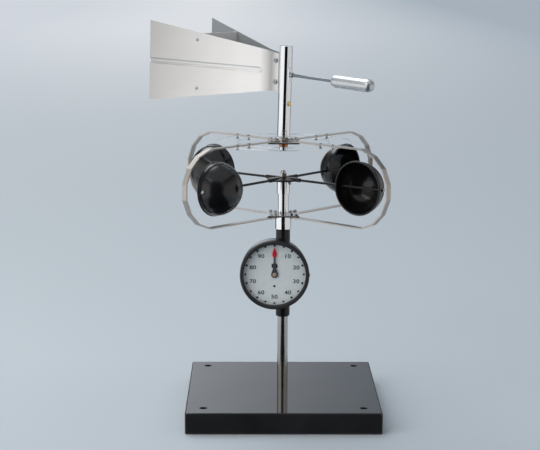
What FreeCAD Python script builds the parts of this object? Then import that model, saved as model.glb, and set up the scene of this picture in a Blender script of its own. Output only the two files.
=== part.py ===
import FreeCAD, Part
import math, os
from FreeCAD import Vector as V

os.makedirs("parts", exist_ok=True)

# ---------------------------------------------------------------------------
# Cup anemometer with a wind vane, on a table stand.  Millimetres.
# Origin: centre of the stand's underside.  +Z is up along the rotor's axis,
# the dial faces -Y.
# ---------------------------------------------------------------------------

# stand
BASE_W = 180.0          # square base plate
BASE_T = 20.0
BASE_CORNER = 2.5       # vertical edges
BASE_EDGE = 1.4         # top edge rounding
HOLE_PITCH = 147.0      # four fixing holes, M6 clearance
HOLE_R = 3.2
POLE_R = 5.0
POLE_Z0 = 17.0          # the pole sits 3 mm deep in the base
POLE_Z1 = 98.0

# dial gauge
GX = -8.0               # the dial's axis lies 8 mm beside the rotor's axis
GZ = 131.3
CASE_R = 31.8
CASE_RI = 29.6
CASE_Y0 = -7.2
CASE_Y1 = 8.2
SPIGOT_R = 30.6         # front rim of the case, inside the bezel
SPIGOT_Y = -10.4
BEZEL_R = 32.8
BEZEL_LIP_R = 29.3
BEZEL_Y = -14.2
NECK_R = 6.65
NECK_Z0 = 89.5
NECK_Z1 = 173.8

# movement: worm on the rotor spindle, wheel and pinion, centre wheel
M_WORM = 0.5
WORM_R = 2.0
WHEEL_T = 16
M_TRAIN = 0.4
PINION_T = 14
CENTRE_T = 56
IX = WORM_R + M_WORM * WHEEL_T / 2.0       # 6.0, axis of the middle arbor

# rotor support
COLLAR_R = 7.5
CAGE_MID = 222.1        # mid-plane of the guard cage
PLATE_W = 30.0
PLATE_T = 1.5
POST_R = 5.0
SLEEVE_R = 6.1
SPINDLE_R = 2.0
RUN = 0.05              # radial running clearance

# rotor
ARM_Z = 221.8
ARM_AZ = 50.5
ARM_R = 1.15
ARM_END = 114.6
CUP_RAD = 89.8          # cup centre to the axis
CUP_SET = -5.9          # rim plane stands this far in front of the arm
CUP_R = 24.4
CUP_WALL = 1.2
BEAD_R = 0.9
HUB_R = 15.0

# guard cage: flat strip, centre line of half a hoop (radius, height)
STRIP_W = 5.6
STRIP_T = 1.2
HOOP = [(8.0, 35.75), (97.0, 35.75), (111.2, 30.3), (121.3, 20.5), (127.1, 6.9)]
HOOP_AZ = 45.84
RING_RO = 64.0
RING_RI = 43.5
RING_T = 2.0
PLATE_SCREW_R = (10.6, 16.6)
RING_SCREW_R = (46.0, 61.0)

# wind vane.  Built with the tail along +X, then turned and set at its lean.
VANE_AZ = 132.4         # direction of the tail
LEAN = 2.06             # the vane's tube leans towards the counterweight
LEAN_Z = 262.0
TUBE_R = 6.0
TUBE_RI = 5.0
TUBE_Z0 = 261.8
TUBE_Z1 = 346.0
PIN_R = 2.5
PL_T = 1.0              # sheet of the two tail plates
PL_W0 = 2.8             # half gap at the lug, to the sheet's centre
PL_S0 = 6.2
PL_S1 = 22.0            # bend
PL_S2 = 150.7
PL_SPLAY = 16.0
PL_H0 = 16.8
PL_H2 = 38.8
PL_ZM = 321.4
GROOVE_W = 5.6
GROOVE_D = 1.2
GROOVE_S = 26.8
SPACER_S = 94.4
SPACER_T = 0.8
SPACER_F = 6.5
ROD_R = 1.5
ROD_Z = 319.7
WT_R = 5.8
WT_D1 = 63.1
WT_D2 = 105.7


# ---------------------------------------------------------------------------
# helpers
# ---------------------------------------------------------------------------
def cyl(r, z0, z1, x=0.0, y=0.0):
    return Part.makeCylinder(r, z1 - z0, V(x, y, z0))


def cyld(r, p, d, h):
    return Part.makeCylinder(r, h, V(*p), V(*d))


def ycyl(r, y0, y1, x=GX, z=GZ):
    return Part.makeCylinder(r, y1 - y0, V(x, y0, z), V(0, 1, 0))


def box(x0, x1, y0, y1, z0, z1):
    return Part.makeBox(x1 - x0, y1 - y0, z1 - z0, V(x0, y0, z0))


def revolve(pts, axis_p=(0, 0, 0), axis_d=(0, 0, 1)):
    """Solid of revolution about Z of a closed (r, z) outline."""
    w = Part.makePolygon([V(r, 0, z) for r, z in pts] + [V(pts[0][0], 0, pts[0][1])])
    return Part.Face(w).revolve(V(*axis_p), V(*axis_d), 360)


def prism(pts, vec):
    w = Part.makePolygon([V(*p) for p in pts] + [V(*pts[0])])
    return Part.Face(w).extrude(V(*vec))


def hexagon(af, p, d, h, turn=0.0):
    """Hexagonal prism, af across flats, from p along d."""
    d = V(*d)
    d.normalize()
    u = V(0, 0, 1).cross(d)
    if u.Length < 1e-6:
        u = V(1, 0, 0)
    u.normalize()
    v = d.cross(u)
    R = af / math.sqrt(3)
    pts = []
    for k in range(6):
        a = math.radians(60 * k + turn)
        pts.append(V(*p) + u * (R * math.cos(a)) + v * (R * math.sin(a)))
    return Part.Face(Part.makePolygon(pts + [pts[0]])).extrude(d * h)


def nut(af, r, p, d, h, turn=0.0):
    """Hex nut with the corners taken off its outer face."""
    n = hexagon(af, p, d, h, turn)
    d = V(*d)
    d.normalize()
    R = af / math.sqrt(3)
    cone = Part.makeCone(R + h, af / 2.0 * 0.98, h * 1.0, V(*p), d)
    body = n.common(cone.fuse(cyld(R + h, p, tuple(d), h * 0.55)))
    q = V(*p) - d
    return body.cut(Part.makeCylinder(r, h + 2, q, d))


def pan_screw(r, rh, hh, p, d, length, slot=0.5, cross=False):
    """Screw: p is the seat of the head, d points from the seat to the head."""
    d = V(*d)
    d.normalize()
    P = V(*p)
    head = Part.makeCylinder(rh, hh, P, d)
    try:
        e = [e for e in head.Edges if abs((e.CenterOfMass - (P + d * hh)).Length) < 1e-3 and e.Length > 1]
        head = head.makeFillet(hh * 0.45, e)
    except Exception:
        pass
    u = V(0, 0, 1).cross(d)
    if u.Length < 1e-6:
        u = V(1, 0, 0)
    u.normalize()
    v = d.cross(u)

    def bar(a, b):
        L = rh * (1.3 if cross else 2.4)
        q = P + d * (hh * 0.45) - a * (L / 2) - b * (slot / 2)
        f = Part.Face(Part.makePolygon([q, q + a * L, q + a * L + b * slot, q + b * slot, q]))
        return f.extrude(d * (hh + 1))
    head = head.cut(bar(u, v))
    if cross:
        head = head.cut(bar(v, u))
    return head.fuse(Part.makeCylinder(r, length, P, d * -1)).removeSplitter()


def fillet(shape, r, test):
    e = [x for x in shape.Edges if test(x)]
    return shape.makeFillet(r, e) if e else shape


def group(shapes):
    out = []
    for s in shapes:
        out += s.Solids
    return Part.makeCompound(out)


TOTAL = {}


def save(name, shape):
    if shape.ShapeType == "Compound" and len(shape.Solids) == 1:
        shape = shape.Solids[0]
    n = len(shape.Solids)
    ok = shape.isValid()
    vol = shape.Volume
    TOTAL[name] = vol
    shape.exportStep("parts/%s.step" % name)
    b = shape.BoundBox
    print("%-22s n=%2d valid=%s vol=%10.2f  x %.1f..%.1f y %.1f..%.1f z %.1f..%.1f" % (
        name, n, ok, vol, b.XMin, b.XMax, b.YMin, b.YMax, b.ZMin, b.ZMax))


def rot_z(s, deg):
    s = s.copy()
    s.rotate(V(0, 0, 0), V(0, 0, 1), deg)
    return s


# ---------------------------------------------------------------------------
# stand
# ---------------------------------------------------------------------------
h = BASE_W / 2
b = box(-h, h, -h, h, 0, BASE_T)
b = fillet(b, BASE_CORNER, lambda e: abs(e.Vertexes[0].Z - e.Vertexes[-1].Z) > 10)
b = fillet(b, BASE_EDGE, lambda e: e.BoundBox.ZMin > BASE_T - 0.01)
b = b.makeChamfer(0.6, [e for e in b.Edges if e.BoundBox.ZMax < 0.01])
for sx in (-1, 1):
    for sy in (-1, 1):
        x, y = sx * HOLE_PITCH / 2, sy * HOLE_PITCH / 2
        b = b.cut(cyl(HOLE_R, -1, BASE_T + 1, x, y))
        b = b.cut(Part.makeCone(HOLE_R, HOLE_R + 0.5, 0.5, V(x, y, BASE_T - 0.5)))
b = b.cut(cyl(POLE_R, POLE_Z0, BASE_T + 1))
b = b.cut(cyl(3.3, -1, POLE_Z0 + 1))
b = b.cut(cyl(8.0, -1, 9.5))
save("base_plate", b)

p = cyl(POLE_R, POLE_Z0, POLE_Z1)
p = p.makeChamfer(0.4, [e for e in p.Edges if e.BoundBox.ZMin > POLE_Z1 - 0.01 or e.BoundBox.ZMax < POLE_Z0 + 0.01])
p = p.cut(cyl(3.0, POLE_Z0 - 1, POLE_Z0 + 16))
save("pole", p)

# socket-head bolt from below, with its washer face on the counterbore
bolt = cyl(5.0, 3.5, 9.5).fuse(cyl(3.0, 9.4, 31.0)).removeSplitter()
bolt = bolt.makeChamfer(0.5, [e for e in bolt.Edges if e.BoundBox.ZMax < 3.51 and e.Length > 20])
bolt = bolt.cut(hexagon(5.0, (0, 0, 2.5), (0, 0, 1), 4.0))
save("pole_bolt", bolt)

# ---------------------------------------------------------------------------
# dial gauge: case, necks, cover, bezel
# ---------------------------------------------------------------------------
case_od = ycyl(CASE_R, -40, 40)

neck = cyl(NECK_R, NECK_Z0, GZ - 20)
neck = fillet(neck, 1.6, lambda e: e.BoundBox.ZMax < NECK_Z0 + 0.01)
neck = neck.cut(case_od)
neck = neck.fuse(cyl(3.5, 99.0, 108.5)).removeSplitter()
neck = neck.cut(cyl(POLE_R, NECK_Z0 - 1, POLE_Z1)).cut(cyl(2.5, 104.0, 110.0))
save("lower_neck", neck)

neck = cyl(NECK_R, GZ + 20, NECK_Z1)
neck = fillet(neck, 0.5, lambda e: e.BoundBox.ZMin > NECK_Z1 - 0.01)
neck = neck.cut(case_od)
neck = neck.fuse(cyl(3.5, 156.0, 166.0)).fuse(cyl(5.0, NECK_Z1 - 0.5, 182.0)).removeSplitter()
neck = neck.cut(cyl(2.6, 150, 190)).cut(cyl(3.5, 172.0, 190))
save("upper_neck", neck)

case = ycyl(CASE_R, CASE_Y0, CASE_Y1).fuse(ycyl(SPIGOT_R, SPIGOT_Y, CASE_Y0)).removeSplitter()
case = fillet(case, 0.5, lambda e: abs(e.CenterOfMass.y - CASE_Y1) < 0.01 and e.Length > 150)
case = case.cut(ycyl(CASE_RI, -20, 20)).cut(cyl(3.5, 95, 170))
save("gauge_case", case)

PILLARS = [(GX + 24 * math.cos(math.radians(a)), GZ + 24 * math.sin(math.radians(a))) for a in (25, 155, 270)]

cover = ycyl(CASE_R, CASE_Y1, CASE_Y1 + 1.6)
cover = fillet(cover, 0.7, lambda e: abs(e.CenterOfMass.y - (CASE_Y1 + 1.6)) < 0.01)
cover = cover.fuse(ycyl(CASE_RI, CASE_Y1 - 1.5, CASE_Y1).cut(ycyl(CASE_RI - 1.6, CASE_Y1 - 2, CASE_Y1)))
for x, z in PILLARS:
    cover = cover.fuse(ycyl(2.6, 4.8, CASE_Y1 + 0.5, x, z))
cover = cover.removeSplitter()
for x, z in PILLARS:
    cover = cover.cut(ycyl(1.05, 0, 20, x, z)).cut(ycyl(2.1, CASE_Y1 + 0.5, 20, x, z))
save("rear_cover", cover)

bez = ycyl(BEZEL_R, BEZEL_Y, CASE_Y0)
bez = fillet(bez, 1.3, lambda e: abs(e.CenterOfMass.y - BEZEL_Y) < 0.01)
bez = fillet(bez, 0.4, lambda e: abs(e.CenterOfMass.y - CASE_Y0) < 0.01)
bez = bez.cut(ycyl(BEZEL_LIP_R, -20, 0)).cut(ycyl(SPIGOT_R, -12.0, 0))
bez = bez.makeChamfer(0.7, [e for e in bez.Edges if abs(e.CenterOfMass.y - BEZEL_Y) < 0.01
                            and abs(e.Length - 2 * math.pi * BEZEL_LIP_R) < 1.0])
bez = bez.cut(cyld(1.1, (GX + 25, -10.6, GZ), (1, 0, 0), 12))
save("bezel", bez)

save("dial_glass", ycyl(30.5, -12.0, SPIGOT_Y))

dial = ycyl(29.5, -7.9, -7.1)
for a in (70, 190, 310):
    x, z = GX + 20 * math.cos(math.radians(a)), GZ + 20 * math.sin(math.radians(a))
    dial = dial.fuse(ycyl(1.0, -7.2, -4.9, x, z))
dial = dial.removeSplitter().cut(ycyl(1.35, -20, 0))
save("dial_plate", dial)

# ---------------------------------------------------------------------------
# movement plates, pillars and screws
# ---------------------------------------------------------------------------
fp = ycyl(29.4, -6.2, -5.0).cut(ycyl(1.05, -20, 0)).cut(ycyl(0.65, -20, 0, IX, GZ))
for a in (70, 190, 310):
    fp = fp.cut(ycyl(1.05, -20, 0, GX + 20 * math.cos(math.radians(a)), GZ + 20 * math.sin(math.radians(a))))
bp = ycyl(29.2, 3.6, 4.8).cut(ycyl(0.65, 0, 20)).cut(ycyl(0.65, 0, 20, IX, GZ))
pillars = []
for x, z in PILLARS:
    fp = fp.cut(ycyl(1.05, -20, 0, x, z))
    bp = bp.cut(ycyl(1.05, 0, 20, x, z))
    pillars.append(ycyl(1.9, -5.0, 3.6, x, z).cut(ycyl(1.0, -6, -1.5, x, z)).cut(ycyl(1.0, 0.2, 5, x, z)))
save("movement_front_plate", fp)
save("movement_back_plate", bp)
save("movement_pillars", group(pillars))

screws = []
for x, z in PILLARS:
    screws.append(pan_screw(1.0, 1.7, 0.7, (x, -6.2, z), (0, -1, 0), 4.4))
    screws.append(pan_screw(1.0, 2.0, 1.0, (x, CASE_Y1 + 0.5, z), (0, 1, 0), 8.2, slot=0.6))
# small screw through the bezel's edge, and the set screw in the collar's front
screws.append(pan_screw(1.1, 1.5, 0.7, (GX + BEZEL_R, -10.6, GZ), (1, 0, 0), 2.1)
              .cut(ycyl(BEZEL_R, -14, -7).cut(cyld(1.1, (GX + 25, -10.6, GZ), (1, 0, 0), 12))))
grub = cyld(1.5, (0, -5.0, 180.4), (0, -1, 0), 2.35)
grub = grub.cut(hexagon(1.5, (0, -6.2, 180.4), (0, -1, 0), 3.0))
screws.append(grub)
save("gauge_screws", group(screws))


# ---------------------------------------------------------------------------
# gears
# ---------------------------------------------------------------------------
def inv(a):
    return math.tan(a) - a


def gear_pts(teeth, m, thick, add, ded, phase):
    """Spur gear outline with involute flanks; thick is at the pitch circle."""
    rp = m * teeth / 2.0
    rb = rp * math.cos(math.radians(20))
    rt, rr = rp + add, rp - ded
    radii = [rr] if rr < rb else []
    r0 = max(rb, rr)
    n = 5
    radii += [r0 + (rt - r0) * k / n for k in range(n + 1)]
    i20 = inv(math.radians(20))

    def half(r):
        r = max(r, rb)
        return thick / (2 * rp) + i20 - inv(math.acos(min(1.0, rb / r)))
    pts = []
    for t in range(teeth):
        c = phase + 2 * math.pi * t / teeth
        for r in radii:
            pts.append((r * math.cos(c - half(r)), r * math.sin(c - half(r))))
        for r in reversed(radii):
            pts.append((r * math.cos(c + half(r)), r * math.sin(c + half(r))))
    return pts


def ygear(cx, y0, y1, teeth, m, thick, add, ded, phase):
    """Gear in the XZ plane centred at (cx, GZ); angles run from +X to +Z."""
    pts = [(cx + a, y0, GZ + b) for a, b in gear_pts(teeth, m, thick, add, ded, phase)]
    return prism(pts, (0, y1 - y0, 0))


# middle arbor: worm wheel at the spindle's depth, pinion in front of it
ww = ygear(IX, -0.8, 0.8, WHEEL_T, M_WORM, 0.60, 0.42, 0.60, math.pi)
ww = ww.fuse(ycyl(2.0, -1.6, 1.6, IX, GZ)).removeSplitter().cut(ycyl(0.9, -5, 5, IX, GZ))
save("worm_wheel", ww)
pin = ygear(IX, -4.5, -2.8, PINION_T, M_TRAIN, 0.50, 0.36, 0.52, math.pi)
pin = pin.cut(ycyl(0.9, -8, 8, IX, GZ))
save("pinion", pin)
arb = ycyl(0.9, -4.9, 3.5, IX, GZ).fuse(ycyl(0.6, -6.1, 4.7, IX, GZ)).removeSplitter()
save("middle_arbor", arb)

# pointer arbor with the centre wheel; a gap of the wheel faces the pinion
cw = ygear(GX, -4.1, -3.2, CENTRE_T, M_TRAIN, 0.50, 0.36, 0.52, math.pi / CENTRE_T)
for k in range(5):
    a = math.radians(72 * k + 36)
    cw = cw.cut(ycyl(2.4, -6, 0, GX + 6.6 * math.cos(a), GZ + 6.6 * math.sin(a)))
cw = cw.fuse(ycyl(2.0, -4.6, -2.6)).removeSplitter().cut(ycyl(1.0, -8, 8))
save("centre_wheel", cw)
pa = ycyl(1.0, -9.9, 3.5).fuse(ycyl(0.6, 3.4, 4.7)).removeSplitter()
save("pointer_arbor", pa)


# pointer: round hub, tapered stem and a drop-shaped head, pointing up
def outline(half):
    return [(GX + w, z) for z, w in half] + [(GX - w, z) for z, w in reversed(half)]


half = [(GZ - 0.5, 3.2), (GZ + 1.2, 3.05), (GZ + 3.0, 2.35), (GZ + 5.0, 1.75), (GZ + 8.0, 1.15),
        (GZ + 11.0, 0.9), (GZ + 14.5, 0.85), (GZ + 16.6, 1.0), (GZ + 17.4, 1.5), (GZ + 18.3, 1.95),
        (GZ + 19.4, 2.12), (GZ + 20.6, 1.95), (GZ + 22.4, 1.35), (GZ + 24.6, 0.6), (GZ + 26.3, 0.12)]
blade = prism([(x, -9.35, z) for x, z in outline(half)], (0, 0.5, 0))
ptr = blade.fuse(ycyl(3.3, -9.35, -8.85)).fuse(ycyl(1.9, -8.9, -8.3)).removeSplitter()
ptr = ptr.cut(ycyl(1.0, -20, 0))
save("pointer", ptr)
cap = ycyl(1.95, -10.15, -9.35)
cap = fillet(cap, 0.35, lambda e: abs(e.CenterOfMass.y + 10.15) < 0.01)
cap = cap.cut(ycyl(1.0, -9.9, -9.0))
save("pointer_cap", cap)

# ---------------------------------------------------------------------------
# rotor spindle, worm, bearings and hub
# ---------------------------------------------------------------------------
sp = revolve([(0, 106.1), (0.45, 106.1), (1.0, 106.8), (1.0, 150.0), (SPINDLE_R, 151.0), (SPINDLE_R, 220.0),
              (1.5, 220.0), (1.5, 227.6), (1.2, 228.0), (0, 228.0)])
save("rotor_spindle", sp)

PITCH = math.pi * M_WORM
TURNS = 7
z0 = GZ - PITCH / 2 - 3 * PITCH            # a gap of the thread faces the wheel
helix = Part.makeHelix(PITCH, PITCH * TURNS, WORM_R)
helix.translate(V(0, 0, z0))
tn = math.tan(math.radians(20))
ri, ro, th = 1.32, WORM_R + 0.42, 0.60


def half_t(r):
    return th / 2 - (r - WORM_R) * tn


prof = Part.makePolygon([V(ri, 0, z0 - half_t(ri)), V(ro, 0, z0 - half_t(ro)), V(ro, 0, z0 + half_t(ro)),
                         V(ri, 0, z0 + half_t(ri)), V(ri, 0, z0 - half_t(ri))])
thread = Part.Wire(helix).makePipeShell([prof], True, True)
worm = cyl(1.45, 124.0, 138.6).cut(cyl(1.0, 100, 160)).fuse(thread)
save("worm", worm)

bush1 = cyl(3.5, 172.0, 182.0).cut(cyl(SPINDLE_R + RUN, 160, 190))
bush2 = cyl(3.5, 198.5, 208.5).cut(cyl(SPINDLE_R + RUN, 160, 290))
thrust = cyl(2.5, 104.0, 108.5).cut(cyl(1.0 + RUN, 106.05, 120))
save("spindle_bearings", group([bush1, bush2, thrust]))

col = cyl(COLLAR_R, NECK_Z1, 186.95)
col = fillet(col, 0.4, lambda e: e.Length > 40 and e.BoundBox.ZMax - e.BoundBox.ZMin < 0.01)
col = col.cut(cyl(5.0, 170, 182.0)).cut(cyl(3.5, 170, 190)).cut(cyld(1.5, (0, -4, 180.4), (0, -1, 0), 10))
save("mast_collar", col)

ZL1 = CAGE_MID - 35.75 + STRIP_T / 2       # top of the lower arms, 186.95
ZL2 = ZL1 + PLATE_T                        # top of the lower plate
ZU0 = CAGE_MID + 35.75 - STRIP_T / 2       # underside of the upper arms, 257.25
ZUP = ZU0 - PLATE_T                        # underside of the upper plate

post = cyl(POST_R, ZL2, 209.2).fuse(cyl(3.5, 182.0, ZL2)).removeSplitter()
post = fillet(post, 0.5, lambda e: e.BoundBox.ZMin > 209.19)
post = post.cut(cyl(2.6, 170, 260)).cut(cyl(3.5, 198.5, 260))
save("rotor_post", post)

slv = cyl(SLEEVE_R, 207.5, 220.0)
slv = fillet(slv, 0.35, lambda e: e.BoundBox.ZMax < 207.51)
slv = slv.cut(cyl(5.3, 200, 210.2)).cut(cyl(SPINDLE_R, 200, 230))
AZ_SET = math.radians(-24)
sd = (math.cos(AZ_SET), math.sin(AZ_SET), 0)
slv = slv.cut(cyld(1.2, (0, 0, 217.4), sd, 12))
save("rotor_sleeve", slv)


def radial(r0, r1, az, z):
    a = math.radians(az)
    return (r0 * math.cos(a), r0 * math.sin(a), z), (math.cos(a), math.sin(a), 0), r1 - r0


hub = revolve([(0, 220.0), (6.1, 220.0), (6.1, 220.2), (HUB_R - 0.4, 220.2), (HUB_R, 220.5), (HUB_R, 221.5),
               (HUB_R - 0.6, 221.9), (4.2, 223.3), (0, 223.3)])
arms, sockets = [], []
for k in range(4):
    az = ARM_AZ + 90 * k
    p0, d0, L = radial(3.0, 20.5, az, ARM_Z)
    s = cyld(1.9, p0, d0, L)
    s = s.makeChamfer(0.35, [e for e in s.Edges if abs(V(e.CenterOfMass.x, e.CenterOfMass.y, 0).Length - 20.5) < 0.01
                             and e.Length > 8])
    hub = hub.fuse(s)
hub = hub.removeSplitter()
for k in range(4):
    az = ARM_AZ + 90 * k
    p0, d0, L = radial(6.0, 40, az, ARM_Z)
    hub = hub.cut(cyld(ARM_R, p0, d0, L))
    p0, d0, L = radial(6.0, ARM_END, az, ARM_Z)
    arms.append(cyld(ARM_R, p0, d0, L))
hub = hub.cut(cyl(6.0, 200, 220.0)).cut(cyl(1.5, 200, 230))
save("rotor_hub", hub)
save("rotor_arms", group(arms))

hn = hexagon(5.5, (0, 0, 223.3), (0, 0, 1), 3.2, 10)
hn = hn.common(Part.makeCone(2.75, 3.6, 0.9, V(0, 0, 223.3)).fuse(cyl(3.6, 224.1, 230)))
hn = hn.fuse(revolve([(0, 226.4), (2.55, 226.4), (2.55, 227.2), (2.38, 228.1), (1.9, 229.0), (1.2, 229.6), (0, 229.9)]))
hn = hn.removeSplitter().cut(cyl(1.5, 220, 228.2))
save("hub_nut", hn)

# cups: hemispherical shells with a beaded rim, pierced by the arms
CUP_NAMES = {0: "cup_rear_right", 1: "cup_rear_left", 2: "cup_front_left", 3: "cup_front_right"}
fasteners = []
for k in range(4):
    az = ARM_AZ + 90 * k
    # built with the arm along +X and the dome towards +Y
    c = Part.makeSphere(CUP_R, V(0, 0, 0), V(0, 1, 0), 0, 90, 360)
    inner = Part.makeSphere(CUP_R - CUP_WALL)
    bead = Part.makeTorus(CUP_R - 0.3, BEAD_R, V(0, 0, 0), V(0, 1, 0))
    c = c.fuse(bead).removeSplitter().cut(inner).cut(cyld(CUP_R - CUP_WALL, (0, -3, 0), (0, 1, 0), 3.0))
    c.translate(V(CUP_RAD, CUP_SET, ARM_Z))
    c = c.cut(cyld(ARM_R, (0, 0, ARM_Z), (1, 0, 0), 130))
    save(CUP_NAMES[k], rot_z(c, az))
    # domed nut on the arm's end, seated on the cup
    dn = revolve([(0, 112.2), (1.75, 112.2), (1.75, 114.6), (1.4, 115.2), (0.7, 115.5), (0, 115.6)])
    dn.rotate(V(0, 0, 0), V(0, 1, 0), 90)
    dn.translate(V(0, 0, ARM_Z))
    sph = Part.makeSphere(CUP_R)
    sph.translate(V(CUP_RAD, CUP_SET, ARM_Z))
    dn = dn.cut(sph).cut(cyld(ARM_R, (0, 0, ARM_Z), (1, 0, 0), ARM_END))
    fasteners.append(rot_z(dn, az))
setscrew = cyld(1.2, (SPINDLE_R * sd[0], SPINDLE_R * sd[1], 217.4), sd, 5.3).cut(cyl(SPINDLE_R, 210, 225))
setscrew = setscrew.cut(hexagon(1.3, (6.2 * sd[0], 6.2 * sd[1], 217.4), sd, 4.0))
fasteners.append(setscrew)
save("rotor_fasteners", group(fasteners))


# ---------------------------------------------------------------------------
# guard cage
# ---------------------------------------------------------------------------
def strip_outline(line, t):
    """Mitred offset of an open line by t/2 to both sides."""
    n = len(line)
    L, R = [], []
    for i in range(n):
        dirs = []
        if i > 0:
            dirs.append((line[i][0] - line[i - 1][0], line[i][1] - line[i - 1][1]))
        if i < n - 1:
            dirs.append((line[i + 1][0] - line[i][0], line[i + 1][1] - line[i][1]))
        ns = []
        for dx, dz in dirs:
            q = math.hypot(dx, dz)
            ns.append((-dz / q, dx / q))
        if len(ns) == 1:
            mx, mz, k = ns[0][0], ns[0][1], 1.0
        else:
            mx, mz = ns[0][0] + ns[1][0], ns[0][1] + ns[1][1]
            q = math.hypot(mx, mz)
            mx, mz = mx / q, mz / q
            k = 1.0 / (mx * ns[0][0] + mz * ns[0][1])
        L.append((line[i][0] + mx * k * t / 2, line[i][1] + mz * k * t / 2))
        R.append((line[i][0] - mx * k * t / 2, line[i][1] - mz * k * t / 2))
    return L + R[::-1]


line = HOOP + [(r, -z) for r, z in HOOP[::-1]]
out = strip_outline(line, STRIP_T)
HOOP_NAMES = {0: "hoop_rear_right", 1: "hoop_rear_left", 2: "hoop_front_left", 3: "hoop_front_right"}
cage_screws, cage_nuts = [], []
for k in range(4):
    az = HOOP_AZ + 90 * k
    hp = prism([(r, -STRIP_W / 2, CAGE_MID + z) for r, z in out], (0, STRIP_W, 0))
    for r in PLATE_SCREW_R:
        hp = hp.cut(cyl(1.0, 180, 270, r, 0))
    for r in RING_SCREW_R:
        hp = hp.cut(cyl(1.0, 240, 270, r, 0))
    save(HOOP_NAMES[k], rot_z(hp, az))
    zt = ZU0 + STRIP_T
    for r in PLATE_SCREW_R:
        # lower: screw from below, nut on the plate; upper: screw into the plate
        cage_screws.append(rot_z(pan_screw(1.0, 1.7, 0.9, (r, 0, ZL1 - STRIP_T), (0, 0, -1), 4.4, cross=True), az))
        cage_nuts.append(rot_z(nut(3.3, 1.0, (r, 0, ZL2), (0, 0, 1), 1.2, 17 * k), az))
        cage_screws.append(rot_z(pan_screw(1.0, 1.6, 0.8, (r, 0, zt), (0, 0, 1), STRIP_T + PLATE_T, cross=True), az))
    for r in RING_SCREW_R:
        cage_screws.append(rot_z(pan_screw(1.0, 1.5, 0.7, (r, 0, zt), (0, 0, 1), 4.5, cross=True), az))
        cage_nuts.append(rot_z(nut(3.1, 1.0, (r, 0, ZU0 - RING_T - 1.0), (0, 0, 1), 1.0), az))


def cage_plate(z0, bore):
    w = PLATE_W / 2
    q = box(-w, w, -w, w, z0, z0 + PLATE_T)
    q = fillet(q, 0.8, lambda e: abs(e.Vertexes[0].Z - e.Vertexes[-1].Z) > 1)
    q = q.makeChamfer(0.25, [e for e in q.Edges if e.BoundBox.ZMax - e.BoundBox.ZMin < 0.01])
    q = q.cut(cyl(bore, z0 - 1, z0 + 3))
    for k in range(4):
        for r in PLATE_SCREW_R:
            a = math.radians(HOOP_AZ + 90 * k)
            q = q.cut(cyl(1.0, z0 - 1, z0 + 3, r * math.cos(a), r * math.sin(a)))
    return q


save("lower_cage_plate", cage_plate(ZL1, 3.5))
save("upper_cage_plate", cage_plate(ZUP, 3.5))
save("cage_screws", group(cage_screws))
save("cage_nuts", group(cage_nuts))

ring = cyl(RING_RO, ZU0 - RING_T, ZU0).cut(cyl(RING_RI, 200, 300))
ring = ring.makeChamfer(0.3, [e for e in ring.Edges if e.Length > 100])
for k in range(4):
    for r in RING_SCREW_R:
        a = math.radians(HOOP_AZ + 90 * k)
        ring = ring.cut(cyl(1.0, 240, 270, r * math.cos(a), r * math.sin(a)))
save("direction_ring", ring)

# ---------------------------------------------------------------------------
# vane bearing on the upper plate
# ---------------------------------------------------------------------------
vb = cyl(4.2, 252.4, ZUP).fuse(cyl(3.5, ZUP - 0.5, 260.2)).removeSplitter()
vb = fillet(vb, 0.3, lambda e: e.BoundBox.ZMax < 252.41)
vb = vb.cut(cyl(PIN_R + RUN, 200, 300))
save("vane_bush", vb)
save("vane_bush_nut", nut(8.0, 3.5, (0, 0, ZU0), (0, 0, 1), 3.2, 12))

# pivot pin and its collar turn with the vane
save("pivot_pin", revolve([(0, 248.3), (2.1, 248.3), (PIN_R, 248.7), (PIN_R, 299.0), (2.1, 299.4), (0, 299.4)]))
pc = cyl(3.9, 249.0, 252.2)
pc = fillet(pc, 0.4, lambda e: e.Length > 20 and e.BoundBox.ZMax - e.BoundBox.ZMin < 0.01)
save("pivot_collar", pc.cut(cyl(PIN_R, 200, 300)))


# ---------------------------------------------------------------------------
# wind vane
# ---------------------------------------------------------------------------
def place(s):
    """From the vane's own frame (tail along +X) to its place."""
    s = s.copy()
    s.rotate(V(0, 0, 0), V(0, 0, 1), VANE_AZ)
    ph = math.radians(180 - VANE_AZ)
    s.rotate(V(0, 0, LEAN_Z), V(math.sin(ph), math.cos(ph), 0), LEAN)
    return s


pin_clear = cyl(PIN_R + 0.02, 240, 299.6)

LUG_T = 2 * (PL_W0 - PL_T / 2)             # 4.6
LUG_Z0, LUG_Z1 = PL_ZM - 15.6, PL_ZM + 15.8
TONGUE_H = 12.6
SEAT = 7.2                                 # seat of the lock nut, from the tube's axis

tube = cyl(TUBE_R, TUBE_Z0, TUBE_Z1)
tube = fillet(tube, 0.25, lambda e: e.BoundBox.ZMax < TUBE_Z0 + 0.01 or e.BoundBox.ZMin > TUBE_Z1 - 0.01)
tube = tube.fuse(cyl(3.5, 261.0, TUBE_Z0 + 0.2)).removeSplitter()
tube = tube.cut(cyl(TUBE_RI, 300.0, TUBE_Z1 + 1))
tube = tube.cut(box(-7, 7, -LUG_T / 2, LUG_T / 2, ROD_Z - TONGUE_H / 2, ROD_Z + TONGUE_H / 2))
# threads of the two clamp screws; azimuths are in the object's frame
SCREW_A = [(267.4, -90.0, 1.5), (292.8, -50.0, 1.5)]
cuts = []
for z, az, r in SCREW_A:
    a = math.radians(az - VANE_AZ)
    cuts.append((z, (math.cos(a), math.sin(a), 0), r))
    tube = tube.cut(cyld(r, (0, 0, z), (math.cos(a), math.sin(a), 0), 12))
tube = place(tube).cut(pin_clear)
save("vane_tube", tube)

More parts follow.
